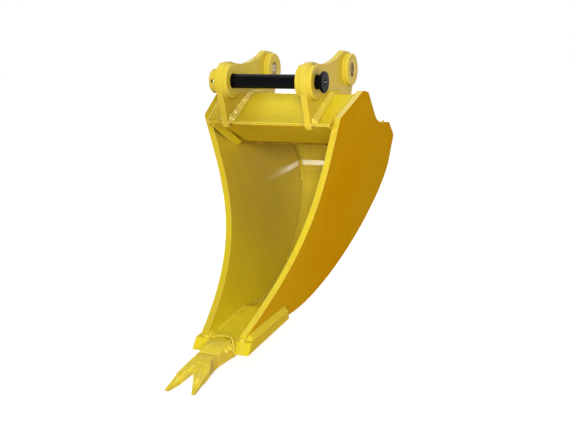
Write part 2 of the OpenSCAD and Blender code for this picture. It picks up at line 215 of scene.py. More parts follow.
def bowl_side(tree):
    """Above 0 on the back plate's outer face, below 0 on its face inside the bucket."""
    place = vector_maths(tree, "SUBTRACT", place_of(tree), BOWL_MIDDLE)[0]
    flat = vector_maths(tree, "MULTIPLY", place, (0, 1, 1))[0]
    ray = vector_maths(tree, "NORMALIZE", flat)[0]
    return vector_maths(tree, "DOT_PRODUCT", ray, facing_of(tree))["Value"]


def left_corner_shade(tree, where):
    """Most in the bucket's upper left corner, where old weld lies: the mask of the painted shade there."""
    away = vector_maths(tree, "DISTANCE", where, LEFT_CORNER)["Value"]
    return product(tree, ramp(tree, away, 0.12, 0.24, 0.6, 0),
                   ramp(tree, along(tree, where, 2), -0.19, -0.14, 0.1, 1))


# Layers of the enamel. Each returns the colour with its own layer on top
def mottled(tree, where, broad, patch, base, olive, pale):
    """The enamel's own colour, in broad and small patches, with fine dark specks."""
    colour = mix(tree, ramp(tree, broad, 0.35, 0.7), base or YELLOW, base or AMBER)
    colour = mix(tree, ramp(tree, patch, 0.45, 0.78, 0, olive), colour, OLIVE)
    if pale:
        colour = mix(tree, ramp(tree, patch, 0.3, 0.6, 0.6 * pale, pale), colour, PALE)
    speck = noise_of(tree, where, 260, 2, 0.5)
    return mix(tree, ramp(tree, speck, 0.62, 0.72, 0, 0.18), colour, GRIME_AND_SHADE)


def plate_light_tints(tree, where, colour, outer, rim):
    """A side plate's outer face painted orange as painted shade, and its edges with painted shade on the left
    plate and a painted highlight on the right one.
    """
    # painted shade: the outer face turns orange, in patches
    orange = mix(tree, ramp(tree, noise_of(tree, where, 3.4, 3, 0.5), 0.36, 0.66), DEEP_SHADE_ORANGE, RUSTY_SHADE_ORANGE)
    colour = mix(tree, ramp(tree, outer, 0, 1, 0, 0.85), colour, orange)
    # painted shade on the left plate's edges and a painted highlight on the right plate's edges
    across = along(tree, where, 0)
    rim_light_tint = mix(tree, ramp(tree, across, -0.05, 0.05), OLIVE, PALE)
    return mix(tree, product(tree, rim, ramp(tree, across, -0.05, 0.05, 0.85, 0.1)), colour, rim_light_tint)


def dusted(tree, where, colour, broad, dusty, within):
    """A film of dust, thickest deep inside the bowl."""
    film = ramp(tree, broad, 0.25, 0.6, 0.75 * dusty, dusty)
    deep = product(tree, ramp(tree, along(tree, where, 1), -0.1, 0.35, 0.25, 1),
                   ramp(tree, along(tree, where, 2), -0.8, -0.5, 0.2, 1))
    return mix(tree, product(tree, film, deep, within), colour, DUSTY)


def with_runs(tree, where, colour):
    """Faint pale runs down the plate."""
    runs = noise_of(tree, where, 30, 3, 0.5, stretch=(1.0, 1.0, 0.09))
    return mix(tree, ramp(tree, runs, 0.56, 0.74, 0, 0.18), colour, PALE)


def with_soil(tree, where, colour):
    """Specks of soil at the bottom of the bowl."""
    soil = noise_of(tree, where, 110, 4, 0.7)
    bottom = ramp(tree, along(tree, where, 2), -0.66, -0.76)
    return mix(tree, product(tree, ramp(tree, soil, 0.56, 0.64, 0, 0.75), bottom), colour, GRIME_AND_SHADE)


def worn_and_edge_lit(tree, colour, patch, wear_and_edge_light):
    """Edges rubbed pale, in patches: wear, and partly a painted highlight along the edges. Its width argument
    is how far from the edge it reaches.
    """
    soft = put(tree, "ShaderNodeBevel", {"Radius": wear_and_edge_light}, samples=6).outputs[0]
    plain = put(tree, "ShaderNodeNewGeometry").outputs["Normal"]
    edge = ramp(tree, vector_maths(tree, "DOT_PRODUCT", soft, plain)["Value"], 0.985, 0.86)
    return mix(tree, product(tree, edge, ramp(tree, patch, 0.35, 0.6)), colour, PALE)


def with_occlusion_shade(tree, colour, occlusion_shade):
    """Painted shade: darkens towards the grime colour where the surface is hemmed in, in corners and creases.
    """
    shade = put(tree, "ShaderNodeAmbientOcclusion", {"Distance": 0.035}, samples=6).outputs["AO"]
    return mix(tree, ramp(tree, shade, 0.35, 0.85, occlusion_shade, 0.0), colour, GRIME_AND_SHADE)


# Gloss and relief
def rim_gloss(tree, where, rim, corner):
    """Gloss of a side plate's edge, most where it faces up, stands high and lies outside the upper left
    corner's painted shade.
    """
    upward = ramp(tree, along(tree, facing_of(tree), 2), 0.4, 0.75, 0.15, 0.7)
    high = ramp(tree, along(tree, where, 2), -0.6, -0.3, 0.1, 1)
    return product(tree, upward, high, rim, ramp(tree, corner, 0, 0.5, 1, 0))


def enamel_relief(tree, where, peel, waves, lumpy, grain):
    """Waves of the plate, lumps and grain of a casting, and orange peel over them."""
    relief = bump(tree, noise_of(tree, where, 7, 2, 0.4), 0.006, 0.35 * waves)
    if lumpy:
        relief = bump(tree, noise_of(tree, where, 20, 1.4, 0.4), 0.012, lumpy, relief)
    if grain:
        relief = bump(tree, noise_of(tree, where, 120, 3, 0.6, stretch=grain), 0.0012, 0.5, relief)
    return bump(tree, noise_of(tree, where, 420, 2, 0.5), 0.0004, 0.25 * peel, relief)


def paint(name, wall=None, base=None, olive=0.55, pale=0.0, dusty=0.0, occlusion_shade=0.55, wear_and_edge_light=0.0035,
          rough=0.34, shine=0.25, coat=0.5, coat_rough=0.18, peel=1.0, waves=1.0, lumpy=0.0, grain=None):
    """Enamel. A wall called "plate" or "bowl" is dusty and glossy on its face inside the bucket, and a
    plate's outer face gets orange painted shade.
    """
    mat, tree, shader = material(name)
    where = place_of(tree)
    broad = noise_of(tree, where, 4.5, 4, 0.6)
    patch = noise_of(tree, where, 17, 5, 0.62)
    # mask of the upper left corner's painted shade
    corner = left_corner_shade(tree, where)
    gloss = coat
    colour = mottled(tree, where, broad, patch, base, olive, pale)
    if wall == "plate":
        side = plate_side(tree)
        within = ramp(tree, side, -0.5, -0.8)
        rim = ramp(tree, maths(tree, "ABSOLUTE", side), 0.7, 0.4)
        gloss = maths(tree, "MAXIMUM", ramp(tree, within, 0, 1, 0, coat), rim_gloss(tree, where, rim, corner))
        # painted shade on the outer face, and painted shade and highlight on the edges
        colour = plate_light_tints(tree, where, colour, ramp(tree, side, 0.5, 0.8), rim)
        colour = dusted(tree, where, colour, broad, dusty, within)
    elif wall == "bowl":
        within = ramp(tree, bowl_side(tree), 0.0, -0.3)
        gloss = ramp(tree, within, 0, 1, 0, coat)
        colour = dusted(tree, where, colour, broad, dusty, within)
    if wall != "plate":
        colour = with_runs(tree, where, colour)
    if wall == "bowl":
        colour = with_soil(tree, where, colour)
    # painted shade: the upper left corner darkened
    colour = mix(tree, corner, colour, CORNER_SHADE)
    # pale edges: wear, and partly a painted highlight
    colour = worn_and_edge_lit(tree, colour, patch, wear_and_edge_light)
    # painted shade in corners and creases, from ambient occlusion
    feed(tree, shader.inputs["Base Color"], with_occlusion_shade(tree, colour, occlusion_shade))
    feed(tree, shader.inputs["Roughness"], ramp(tree, patch, 0.3, 0.75, rough - 0.07, rough + 0.12))
    feed(tree, shader.inputs["Specular IOR Level"], shine)
    feed(tree, shader.inputs["Coat Weight"], gloss)
    feed(tree, shader.inputs["Coat Roughness"], coat_rough)
    feed(tree, shader.inputs["Coat IOR"], 1.5 + 0.6 * coat)
    feed(tree, shader.inputs["Normal"], enamel_relief(tree, where, peel, waves, lumpy, grain))
    return mat


plate_paint = paint("plate_enamel", pale=0.06, shine=0.06, coat=0.06)
ear_paint = paint("ear_enamel", pale=0.3, shine=0.1, coat=0.06)
side_paint = paint("side_plate_enamel", wall="plate", dusty=0.7, shine=0.0, coat=1.0)
wrap_paint = paint("wrap_enamel", wall="bowl", dusty=0.4, shine=0.1, coat=1.0, waves=0.5)
lip_paint = paint("lip_enamel", pale=0.08, rough=0.32, shine=0.01, coat=0.03, peel=1.5, grain=(1, 0.06, 1))
cast_paint = paint("cast_enamel", olive=0.35, pale=0.12, wear_and_edge_light=0.008, shine=0.0, coat=0.25, coat_rough=0.14,
                   peel=3.0, waves=1.6, lumpy=0.8, grain=(1, 1, 1))
weld_paint = paint("weld_enamel", olive=0.1, pale=0.1, occlusion_shade=0.3, rough=0.3, shine=0.0, coat=0.35,
                   coat_rough=0.1, peel=2.0, waves=0.4)
# painted highlight: pale glints in patches along the weld
weld_painted_glints = paint("weld_painted_glint_enamel", olive=0.1, pale=0.6, occlusion_shade=0.3, rough=0.28, shine=0.0, coat=0.45,
                  coat_rough=0.1, peel=2.0, waves=0.4)
old_weld = paint("dull_weld_enamel", olive=1.0, pale=0.1, occlusion_shade=0.5, rough=0.36, shine=0.0, coat=0.1,
                 peel=2.0)
fillet_paint = paint("fillet_enamel", pale=0.12, wear_and_edge_light=0.0003, rough=0.32, shine=0.04, coat=0.05, peel=1.5)
# painted shadow, for the seam under the torque box's rear edge
shadow_seam_paint = paint("painted_shadow_enamel", base=SHADOW_BROWN, rough=0.5, shine=0.0, coat=0.0)


def black_paint():
    """The arm pin's black, turned and a little scuffed."""
    mat, tree, shader = material("pin_black")
    where = place_of(tree)
    turned = noise_of(tree, where, 60, 3, 0.6, stretch=(14, 1, 1))
    scuff = noise_of(tree, where, 26, 5, 0.65)
    dust = noise_of(tree, where, 180, 3, 0.5)
    colour = mix(tree, ramp(tree, scuff, 0.5, 0.75, 0, 0.6), PIN_BLACK, PIN_WORN)
    colour = mix(tree, ramp(tree, dust, 0.66, 0.74, 0, 0.25), colour, PIN_DUST)
    feed(tree, shader.inputs["Base Color"], colour)
    feed(tree, shader.inputs["Roughness"], ramp(tree, scuff, 0.3, 0.7, 0.22, 0.42))
    feed(tree, shader.inputs["Specular IOR Level"], 0.03)
    feed(tree, shader.inputs["Coat Weight"], 0.08)
    feed(tree, shader.inputs["Coat Roughness"], 0.15)
    feed(tree, shader.inputs["Normal"], bump(tree, turned, 0.0004, 0.35))
    return mat


def bare_steel(name, colour, rough, lines, painted_ends=False):
    """Steel with fine marks of the tool along its lines, and with paint on its end faces where asked."""
    mat, tree, shader = material(name)
    where = place_of(tree)
    cut = noise_of(tree, where, 90, 3, 0.6, stretch=lines)
    stain = noise_of(tree, where, 30, 5, 0.6)
    made = mix(tree, ramp(tree, stain, 0.45, 0.75, 0, 0.7), colour, STAIN)
    metal = 1.0
    if painted_ends:
        end = maths(tree, "ABSOLUTE", along(tree, facing_of(tree), 0))
        made = mix(tree, ramp(tree, end, 0.5, 0.8), made, AMBER)
        metal = ramp(tree, end, 0.5, 0.8, 1, 0)
        feed(tree, shader.inputs["Specular IOR Level"], 0.1)
    feed(tree, shader.inputs["Metallic"], metal)
    feed(tree, shader.inputs["Base Color"], made)
    feed(tree, shader.inputs["Roughness"], ramp(tree, cut, 0.3, 0.7, rough - 0.08, rough + 0.12))
    feed(tree, shader.inputs["Normal"], bump(tree, cut, 0.0004, 0.4))
    return mat


def rubber():
    """Dark rubber, a little paler in spots."""
    mat, tree, shader = material("rubber")
    grit = noise_of(tree, place_of(tree), 400, 3, 0.6)
    feed(tree, shader.inputs["Base Color"], mix(tree, ramp(tree, grit, 0.4, 0.7), RUBBER, RUBBER_WORN))
    feed(tree, shader.inputs["Roughness"], 0.8)
    feed(tree, shader.inputs["Normal"], bump(tree, grit, 0.0003, 0.5))
    return mat


# Which solids get which material, by a word in their name. The others get plate enamel
LOOKS = {
    "bush": bare_steel("bore_steel", BORE_STEEL, 0.16, (12, 1, 1), painted_ends=True),
    "nipple": bare_steel("zinc", ZINC, 0.34, (4, 4, 4)),
    "arm_pin": black_paint(),
    "tooth_lock_pin": bare_steel("lock_steel", LOCK_STEEL, 0.5, (2, 2, 2)),
    "lock_pin_rubber": rubber(),
    "twin_tooth": cast_paint,
    "tooth_adapter": cast_paint,
    "cutting_edge": lip_paint,
    "side_plate": side_paint,
    "wrap_plate": wrap_paint,
    "ear_left": ear_paint,
    "ear_right": ear_paint,
    "boss_left": ear_paint,
    "boss_right": ear_paint,
    "pin_collar": ear_paint,
}

# How wide the edges of plates and castings are rounded, in mm
SOFT_EDGES = {
    "side_plate_left": 2.2,
    "side_plate_right": 2.2,
    "wrap_plate": 1.0,
    "shell_top_plate": 1.0,
    "cutting_edge": 2.5,
    "box_top_plate": 3.5,
    "box_under_plate": 1.5,
    "ear_left": 2.2,
    "ear_right": 2.2,
    "corner_gusset_left": 2.0,
    "tooth_adapter": 6.0,
    "twin_tooth": 3.2,
}


def dress(name, node):
    """Gives a solid the material of the last word that is in its name."""
    chosen = plate_paint
    for word, mat in LOOKS.items():
        if word in name:
            chosen = mat
    node.data.materials.clear()
    node.data.materials.append(chosen)


def soften(name, width):
    """Rounds a solid's edges, and on a side plate evens out the shading of its large faces."""
    node = nodes[name]
    weld = node.modifiers.new("join", "WELD")
    weld.merge_threshold = 1e-5
    bevel = node.modifiers.new("edge", "BEVEL")
    bevel.width = width * MM
    bevel.segments = 3
    bevel.limit_method = "ANGLE"
    bevel.angle_limit = math.radians(28)
    bevel.harden_normals = True
    bevel.use_clamp_overlap = True
    if name.startswith("side_plate"):
        even = node.modifiers.new("even", "WEIGHTED_NORMAL")
        even.mode = "FACE_AREA"
        even.weight = 90


for name, node in nodes.items():
    dress(name, node)
for name, width in SOFT_EDGES.items():
    soften(name, width)


# Directions and places in the side view and in the bucket's space
def vec(y, z):
    """A place or a direction in the side view, as (back, up)."""
    return Vector((y, z))


def turn_left(v):
    """A direction in the side view, turned a quarter to the left."""
    return Vector((-v.y, v.x))


def yz(p, x):
    """A place in the side view, put at x across the bucket."""
    return Vector((x, p.x, p.y))


def flat_dir(p):
    """A direction in the side view, in the bucket's space."""
    return Vector((0, p.x, p.y))


def cubic(p, t):
    """A place on the curve that four control places make, from the first at t = 0 to the last at t = 1."""
    return p[0] * (1 - t) ** 3 + p[1] * 3 * (1 - t) ** 2 * t + p[2] * 3 * (1 - t) * t * t + p[3] * t ** 3


def slope_of(p, t):
    """The direction of that curve at t."""
    return ((p[1] - p[0]) * 3 * (1 - t) ** 2 + (p[2] - p[1]) * 6 * (1 - t) * t
            + (p[3] - p[2]) * 3 * t * t).normalized()


# Sizes shared with the solids, in millimetres: side plates, back plate, ears, bosses, cutting edge, adapter
SIDE_T, SIDE_LEAN, HALF_W0 = 22.0, 0.26, 294.0
SIDE_PROUD, HEEL_PROUD, WRAP_T = 5.0, 10.0, 16.0
EAR_IN, EAR_T, EAR_REAR = 147.0, 22.0, 396
BOSS_R, COLLAR_R = 59.0, 43.0
LIP_T, LIP_LEN, LIP_SLOPE = 32.0, 345.0, math.radians(7.5)
STRAP_R, STRAP_AT, ADAPTER_HALF, TOOTH_PITCH = 47, -22, 46.0, math.radians(13)

# Places and directions shared with the solids, seen from the side
X = Vector((1, 0, 0))
UP = vec(0, 1)
BACK = vec(1, 0)
front_eye, rear_eye = vec(0, 0), vec(362, 40)
front_edge, crest0, crest1 = vec(0, -147), vec(180, -47), vec(255, -47)
box_foot, under_edge = vec(440, -166), vec(240, -230)
top_corner, heel_corner = vec(626, -166), vec(740, -224)
slope_dir = (crest0 - front_edge).normalized()
under_dir = (under_edge - front_edge).normalized()
fall_dir = (box_foot - crest1).normalized()
slant_dir = (heel_corner - top_corner).normalized()
ear_rear = vec(EAR_REAR, crest1.y + (EAR_REAR - crest1.x) * fall_dir.y / fall_dir.x)
lip_dir = vec(math.cos(LIP_SLOPE), math.sin(LIP_SLOPE))
lip_up = turn_left(lip_dir)
lip_front = vec(-346, -836)
lip_rear = lip_front + (LIP_LEN - LIP_T) * lip_dir
lip_rear_low = lip_rear - LIP_T * lip_up
heel = [lip_rear_low, vec(330, -850), vec(775, -560), vec(775, -345)]
HEEL_STEPS = 60
tooth_dir = vec(math.cos(TOOTH_PITCH), math.sin(TOOTH_PITCH))
tooth_up = turn_left(tooth_dir)
tooth_at = lip_front - (LIP_T * lip_dir + LIP_T * lip_up) / 2


def half_out(z):
    """Half of the bucket's width at a height, over the side plates."""
    return HALF_W0 + SIDE_LEAN * z


def half_in(z):
    """Half of the bucket's width at a height, between the side plates."""
    return half_out(z) - SIDE_T * math.sqrt(1 + SIDE_LEAN * SIDE_LEAN)


def along_side(d, side):
    """A direction in the side view, laid along the leaning side plate."""
    return Vector((side * SIDE_LEAN * d.y, d.x, d.y)).normalized()


# Welds: steps across the face, mm that the root is sunk into the corner, mm from lump to lump, and how
# many ripples the middle of the face runs ahead of its edges
ARC, ROOT_SUNK = 8, 0.6
LUMP_MM, SMALL_LUMP_MM = 14.0, 5.0
RIPPLE_BOW = 0.55


def make_piece(name, verts, faces, mat):
    """A painted piece that rides on the bucket, from corners in mm."""
    mesh = bpy.data.meshes.new(name)
    mesh.from_pydata([v * MM for v in verts], [], faces)
    mesh.update()
    mesh.shade_smooth()
    obj = bpy.data.objects.new(name, mesh)
    scene.collection.objects.link(obj)
    obj.data.materials.append(mat)
    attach(obj, "bucket")


def tube_faces(count, ring, closed=False):
    """Faces that join a row of rings to a tube. A tube that isn't closed on itself gets two ends."""
    faces = []
    for i in range(count if closed else count - 1):
        j = (i + 1) % count
        for k in range(ring):
            m = (k + 1) % ring
            faces.append((i * ring + k, i * ring + m, j * ring + m, j * ring + k))
    if not closed:
        faces.append(tuple(range(ring - 1, -1, -1)))
        faces.append(tuple((count - 1) * ring + k for k in range(ring)))
    return faces


def full_row(place, u, v, grow=1.0):
    """A weld's row with directions of length 1 and a scale for each of its two legs."""
    return place, u.normalized(), v.normalized(), grow if isinstance(grow, tuple) else (grow, grow)


def stations(rows, step, closed):
    """Rows about one step apart, each with the way travelled before it, and the weld's whole length."""
    made = []
    travelled = 0.0
    for i in range(len(rows) if closed else len(rows) - 1):
        a, b = rows[i], rows[(i + 1) % len(rows)]
        span = (b[0] - a[0]).length
        count = max(1, round(span / step))
        for k in range(count):
            t = k / count
            scales = [g * (1 - t) + h * t for g, h in zip(a[3], b[3])]
            made.append((travelled + span * t, a[0].lerp(b[0], t), a[1].lerp(b[1], t).normalized(),
                         a[2].lerp(b[2], t).normalized(), scales))
        travelled += span
    if not closed:
        made.append((travelled, *rows[-1]))
    return made, travelled


def leg_at(s, length, leg, closed, lumps, seed):
    """A weld's leg at a place along it, short at the weld's two ends and swollen by lumps."""
    end = 1.0 if closed else min(1.0, 0.25 + min(s, length - s) / (leg * 0.8))
    large = noise.noise(Vector((s / LUMP_MM, seed, 0.3)))
    small = noise.noise(Vector((s / SMALL_LUMP_MM, seed, 7.3)))
    return leg * end * (1 + lumps * (large + 0.6 * small))


def ripple_at(s, pitch, middle, soft):
    """How high a ripple stands: 1 on its crest, falling steeply from it, or evenly on both sides if soft."""
    x = (s / pitch + RIPPLE_BOW * middle) % 1.0
    return 0.5 + 0.5 * math.cos(math.tau * x) if soft else (1 - x) ** 1.5


def bead(name, rows, leg, pitch=5.0, flat=1.5, ripple=0.10, lumps=0.10, knobs=0.0, seed=0.0,
         closed=False, soft=False, mat=weld_paint):
    """A rippled fillet weld, in mm. Each row is (corner place, one face's direction, the other's, scale)."""
    fine, length = stations([full_row(*row) for row in rows], pitch / 6.0, closed)
    verts = []
    for s, place, u, v, grow in fine:
        full = leg_at(s, length, leg, closed, lumps, seed)
        verts.append(place - (u + v) * ROOT_SUNK)
        for k in range(ARC + 1):
            f = k / ARC
            middle = math.sin(math.pi * f)
            r = full * (1 + ripple * middle * (ripple_at(s, pitch, middle, soft) - 0.4))
            if knobs:
                r *= 1 + knobs * middle * noise.noise(Vector((s / (0.38 * leg), 3.0 * f, seed + 3.1)))
            q = f * math.pi / 2
            verts.append(place + r * (u * grow[0] * math.cos(q) ** flat + v * grow[1] * math.sin(q) ** flat))
    make_piece(name, verts, tube_faces(len(fine), ARC + 2, closed), mat)


def ear_weld(side, word, face, sign, tag):
    """The weld along an ear plate's foot, knobbly and with painted pale glints on the left ear, and smooth on
    the right one.
    """
    x = side * face
    out = X * side * sign
    rows = []
    for p, d, grow in ((front_edge + 2 * slope_dir, slope_dir, 1.45),
                       (front_edge + 60 * slope_dir, slope_dir, 1.25),
                       (crest0 - 6 * slope_dir, slope_dir, 1),
                       (crest0 + 8 * BACK, BACK, 0.9),
                       (crest1 - 8 * BACK, BACK, 0.9),
                       (crest1 + 8 * fall_dir, fall_dir, 0.9),
                       (ear_rear - 3 * fall_dir, fall_dir, 0.9)):
        rows.append((yz(p, x), flat_dir(turn_left(d)), out, grow))
    old = side < 0
    bead(f"ear_weld_{word}_{tag}", rows, leg=15, pitch=10, ripple=0.03, lumps=0.16 if old else 0.08,
         knobs=0.4 if old else 0.1, seed=face + side, soft=True, mat=weld_painted_glints if old else weld_paint)
    # The weld's nose turns down over the box's front edge, with painted pale glints
    foot = front_edge + vec(-1, 1)
    rows = [(yz(foot + 4 * slope_dir, x), flat_dir(turn_left(slope_dir)), out, 1.3),
            (yz(foot, x), Vector((0, -1, 0.2)), out, 1.4),
            (yz(foot + 9 * under_dir, x), flat_dir(-turn_left(under_dir)), out, 0.7)]
    bead(f"ear_weld_nose_{word}_{tag}", rows, leg=12, pitch=9, flat=1.4, ripple=0.03, lumps=0.3, knobs=0.15,
         seed=face, soft=True, mat=weld_painted_glints)


def boss_weld(side, word, eye, face, sign, tag):
    """The weld round a boss, or round the pin's collar on the left ear's outer face."""
    radius = COLLAR_R if side < 0 and tag == "front_out" else BOSS_R
    rows = []
    for i in range(64):
        q = math.tau * i / 64
        ray = Vector((0, math.cos(q), math.sin(q)))
        rows.append((yz(eye, side * face) + ray * radius, ray, X * side * sign))
    bead(f"boss_weld_{word}_{tag}", rows, leg=4.5, seed=face + eye.x, closed=True)


def seam(side, word, name, points, ups, leg, **more):
    """A weld on a side plate's inner face, along plates whose outline and outward directions are given."""
    rows = [(yz(p, side * half_in(p.y)), along_side(d, side), X * -side) for p, d in zip(points, ups)]
    bead(f"{name}_{word}", rows, leg, **more)


def heel_line(lift, count, out):
    """Places along the back plate, at a lift from its curve, from its top down, and their directions."""
    points, dirs = [], []
    for i in range(count):
        t = 1 - i / HEEL_STEPS
        left = turn_left(slope_of(heel, t))
        points.append(cubic(heel, t) + lift * left)
        dirs.append(out * left)
    return points, dirs


def top_seams(side, word):
    """Seams of the torque box and of the shell's top, with lumps at both ends of the slant behind it."""
    top = [front_edge + 3 * slope_dir, crest0, crest0 + BACK, crest1, crest1 + vec(1, -0.6), box_foot]
    ups = [turn_left(slope_dir)] * 2 + [UP] * 2 + [turn_left(fall_dir)] * 2
    seam(side, word, "box_seam", top, ups, leg=5.5, seed=3.0)
    flat_top = [box_foot + vec(8, -1), top_corner + vec(-4, -SIDE_PROUD)]
    seam(side, word, "shell_top_seam", flat_top, [UP] * 2, leg=5.0, seed=4.0)
    slant0 = top_corner + vec(-2, -SIDE_PROUD - 1)
    slant1 = heel_corner + vec(-HEEL_PROUD, -HEEL_PROUD / 2 + 1)
    seam(side, word, "heel_top_seam", [slant0, slant1], [turn_left(slant_dir)] * 2, leg=9.5, lumps=0.4,
         knobs=0.5, seed=5.0, soft=True)
    ends = {"top": (top_corner + vec(-16, -SIDE_PROUD), top_corner + vec(12, -SIDE_PROUD - 6)),
            "heel": (slant1 - 26 * slant_dir, slant1 - 6 * slant_dir)}
    for tag, points in ends.items():
        seam(side, word, f"corner_lump_{tag}", points, [UP, turn_left(slant_dir)], leg=13.0, lumps=0.4,
             knobs=0.4, seed=5.5, soft=True)


def wrap_seams(side, word):
    """Seams of the back plate, outside and inside, and of the torque box's under plate."""
    points, dirs = heel_line(HEEL_PROUD, HEEL_STEPS + 1, -1)
    seam(side, word, "wrap_seam_outer", points, dirs, leg=8.0, pitch=6, seed=6.0)
    # Inside, the seam ends short of the cutting edge
    points, dirs = heel_line(HEEL_PROUD + WRAP_T, HEEL_STEPS - 3, 1)
    seam(side, word, "wrap_seam_inner", points, dirs, leg=4.0, pitch=6, lumps=0.2, seed=7.0, soft=True,
         mat=wrap_paint)
    seam(side, word, "wrap_seam_upper", points[:10], dirs[:10], leg=7.5, pitch=8, lumps=0.3, knobs=0.5,
         seed=7.5, soft=True)
    under = [front_edge + 8 * under_dir, under_edge - 2 * under_dir]
    seam(side, word, "under_seam", under, [-turn_left(under_dir)] * 2, leg=7.0, pitch=6, seed=8.0)


def lip_welds(side, word):
    """Welds of a side plate on the cutting edge: inside, across its foot and outside."""
    a, b = lip_front + 12 * lip_dir, lip_rear - 4 * lip_dir
    up = along_side(lip_up, side)
    rows = []
    for p, grow in ((a - 4 * lip_dir, 3.0), (a + 22 * lip_dir, 2.8), (a + 60 * lip_dir, 1.3), (b, 1.0)):
        rows.append((yz(p, side * half_in(p.y)), up, X * -side, grow))
    bead(f"lip_seam_inner_{word}", rows, leg=6.0, pitch=7, flat=2.6, ripple=0.04, lumps=0.2, seed=9.0,
         soft=True, mat=fillet_paint)
    p = lip_front + 10 * lip_dir
    rows = []
    for x in (half_in(p.y), half_out(p.y)):
        rows.append((yz(p, side * x), Vector((0, -0.2, 1)), flat_dir(-lip_dir)))
    bead(f"foot_weld_{word}", rows, leg=9.0, pitch=7, lumps=0.3, seed=12.0 + side, soft=True)
    rows = []
    for i in range(25):
        p = a.lerp(b, i / 24)
        rows.append((yz(p, side * half_out(p.y)), up, X * side))
    bead(f"lip_fillet_{word}", rows, leg=21, pitch=9, flat=1.9, ripple=0.03, lumps=0.05, seed=10.0,
         mat=fillet_paint)


def corner_fill(k, inset):
    """One run of the old weld that fills the left corner, from the slope down over the front edge."""
    x = inset - half_in(front_edge.y)
    over = flat_dir(turn_left(slope_dir))
    rows = [(yz(front_edge + (105 - 14 * k) * slope_dir, x), X, over, (0.8, 0.45)),
            (yz(front_edge + 12 * slope_dir, x), X, over, (0.8, 0.45)),
            (yz(front_edge - 1 * slope_dir, x), X, Vector((0, -1, 0)), (0.8, 0.5)),
            (yz(front_edge + (26 + 8 * k) * under_dir, x), X, flat_dir(-turn_left(under_dir)), (0.8, 0.5))]
    bead(f"corner_fill_{k}", rows, leg=17, pitch=12, flat=1.0, ripple=0.05, lumps=0.35, knobs=0.4,
         seed=41.0 + k, soft=True, mat=old_weld)


def cross_seam(name, place, half, u, v, leg, **more):
    """A straight seam across the bucket, along a corner that is one place when seen from the side."""
    bead(name, [(yz(place, x), flat_dir(u), flat_dir(v)) for x in (-half, half)], leg, **more)


def cross_seams():
    """The torque box's front edge, a seam under its rear edge painted dark brown as painted shadow, and the
    cutting edge's rear end.
    """
    place = front_edge + 3.5 * slope_dir + 3.5 * under_dir
    cross_seam("box_front_seam", place, half_in(front_edge.y), turn_left(slope_dir), -turn_left(under_dir),
               leg=6.0, pitch=6, flat=1.0, ripple=0.06, seed=14.0, soft=True)
    # painted shadow: a dark brown seam stands for the shade under the box's rear edge
    place = under_edge - 2 * under_dir
    cross_seam("under_edge_shadow_seam", place, half_in(under_edge.y), under_dir, -turn_left(under_dir),
               leg=6.5, pitch=8, flat=1.0, ripple=0.05, lumps=0.15, seed=15.0, soft=True, mat=shadow_seam_paint)
    heel_start = slope_of(heel, 0)
    place = lip_rear_low + HEEL_PROUD * turn_left(heel_start)
    cross_seam("lip_rear_seam", place, half_in(place.y) - 4, -lip_up, heel_start, leg=9, pitch=6, seed=11.0)


def height_over(start, run):
    """How far above a place the cutting edge's face with this run lies, along the tooth's up."""
    normal = turn_left(run)
    return (lip_front - start).dot(normal) / tooth_up.dot(normal)


def strap_weld():
    """The heavy weld round the adapter's upper strap, on the cutting edge's flat and on its bevel."""
    bevel_dir = (lip_dir + lip_up).normalized()
    rows = []
    for i in range(21):
        q = math.radians(-80 + 8 * i)
        start = tooth_at + (STRAP_AT + STRAP_R * math.cos(q)) * tooth_dir
        run = min((lip_dir, bevel_dir), key=lambda d: height_over(start, d))
        beside = abs(math.sin(q))
        rows.append((yz(start + height_over(start, run) * tooth_up, STRAP_R * math.sin(q)),
                     flat_dir(tooth_up), X * math.sin(q) + flat_dir(run) * math.cos(q),
                     (0.9 + 0.5 * beside, 0.85 - 0.3 * beside)))
    bead("adapter_weld_top", rows, leg=15, pitch=11, flat=1.3, ripple=0.06, lumps=0.4, knobs=0.35, seed=21.0,
         soft=True, mat=cast_paint)


def adapter_side_welds(side, word):
    """Lumps of weld along the strap's sloping shoulder, and a smaller weld under the cutting edge."""
    rows = []
    for y, x in ((-52, 33), (-36, 35), (-22, 37), (0, 32), (14, 21)):
        rows.append((yz(tooth_at + y * tooth_dir + 9 * tooth_up, side * x), flat_dir(tooth_up), X * side,
                     (0.9, 1.0)))
    bead(f"adapter_shoulder_{word}", rows, leg=14, pitch=13, flat=1.6, ripple=0.03, lumps=0.35, knobs=0.25,
         seed=31.0 + side, soft=True, mat=cast_paint)
    rows = []
    for y in (-6, 20, 42):
        start = tooth_at + y * tooth_dir
        depth = (start - lip_front + LIP_T * lip_up).dot(lip_up) / tooth_up.dot(lip_up)
        rows.append((yz(start - depth * tooth_up, side * ADAPTER_HALF), flat_dir(-tooth_up), X * side))
    bead(f"adapter_weld_under_{word}", rows, leg=7, pitch=8, lumps=0.25, seed=23.0 + side)


# All welds, in the order in which the pieces are listed
SIDES = ((-1, "left"), (1, "right"))
for side, word in SIDES:
    for face, sign, tag in ((EAR_IN + EAR_T, 1, "outer"), (EAR_IN, -1, "inner")):
        ear_weld(side, word, face, sign, tag)
    for eye, end in ((front_eye, "front"), (rear_eye, "rear")):
        boss_weld(side, word, eye, EAR_IN + EAR_T, 1, f"{end}_out")
        boss_weld(side, word, eye, EAR_IN, -1, f"{end}_in")
for side, word in SIDES:
    top_seams(side, word)
    wrap_seams(side, word)
    lip_welds(side, word)
for k, inset in enumerate((14, 29, 44)):
    corner_fill(k, inset)
cross_seams()
strap_weld()
for side, word in SIDES:
    adapter_side_welds(side, word)

# The tooth's top as cast, as (along, up) from the adapter's place, in mm
TOOTH_TOP = ((-108, 27), (-150, 26), (-180, 21), (-230, 10), (-300, -5))
RIDGE_STEPS, RIDGE_ARC, RIDGE_SUNK = 16, 10, 0.8


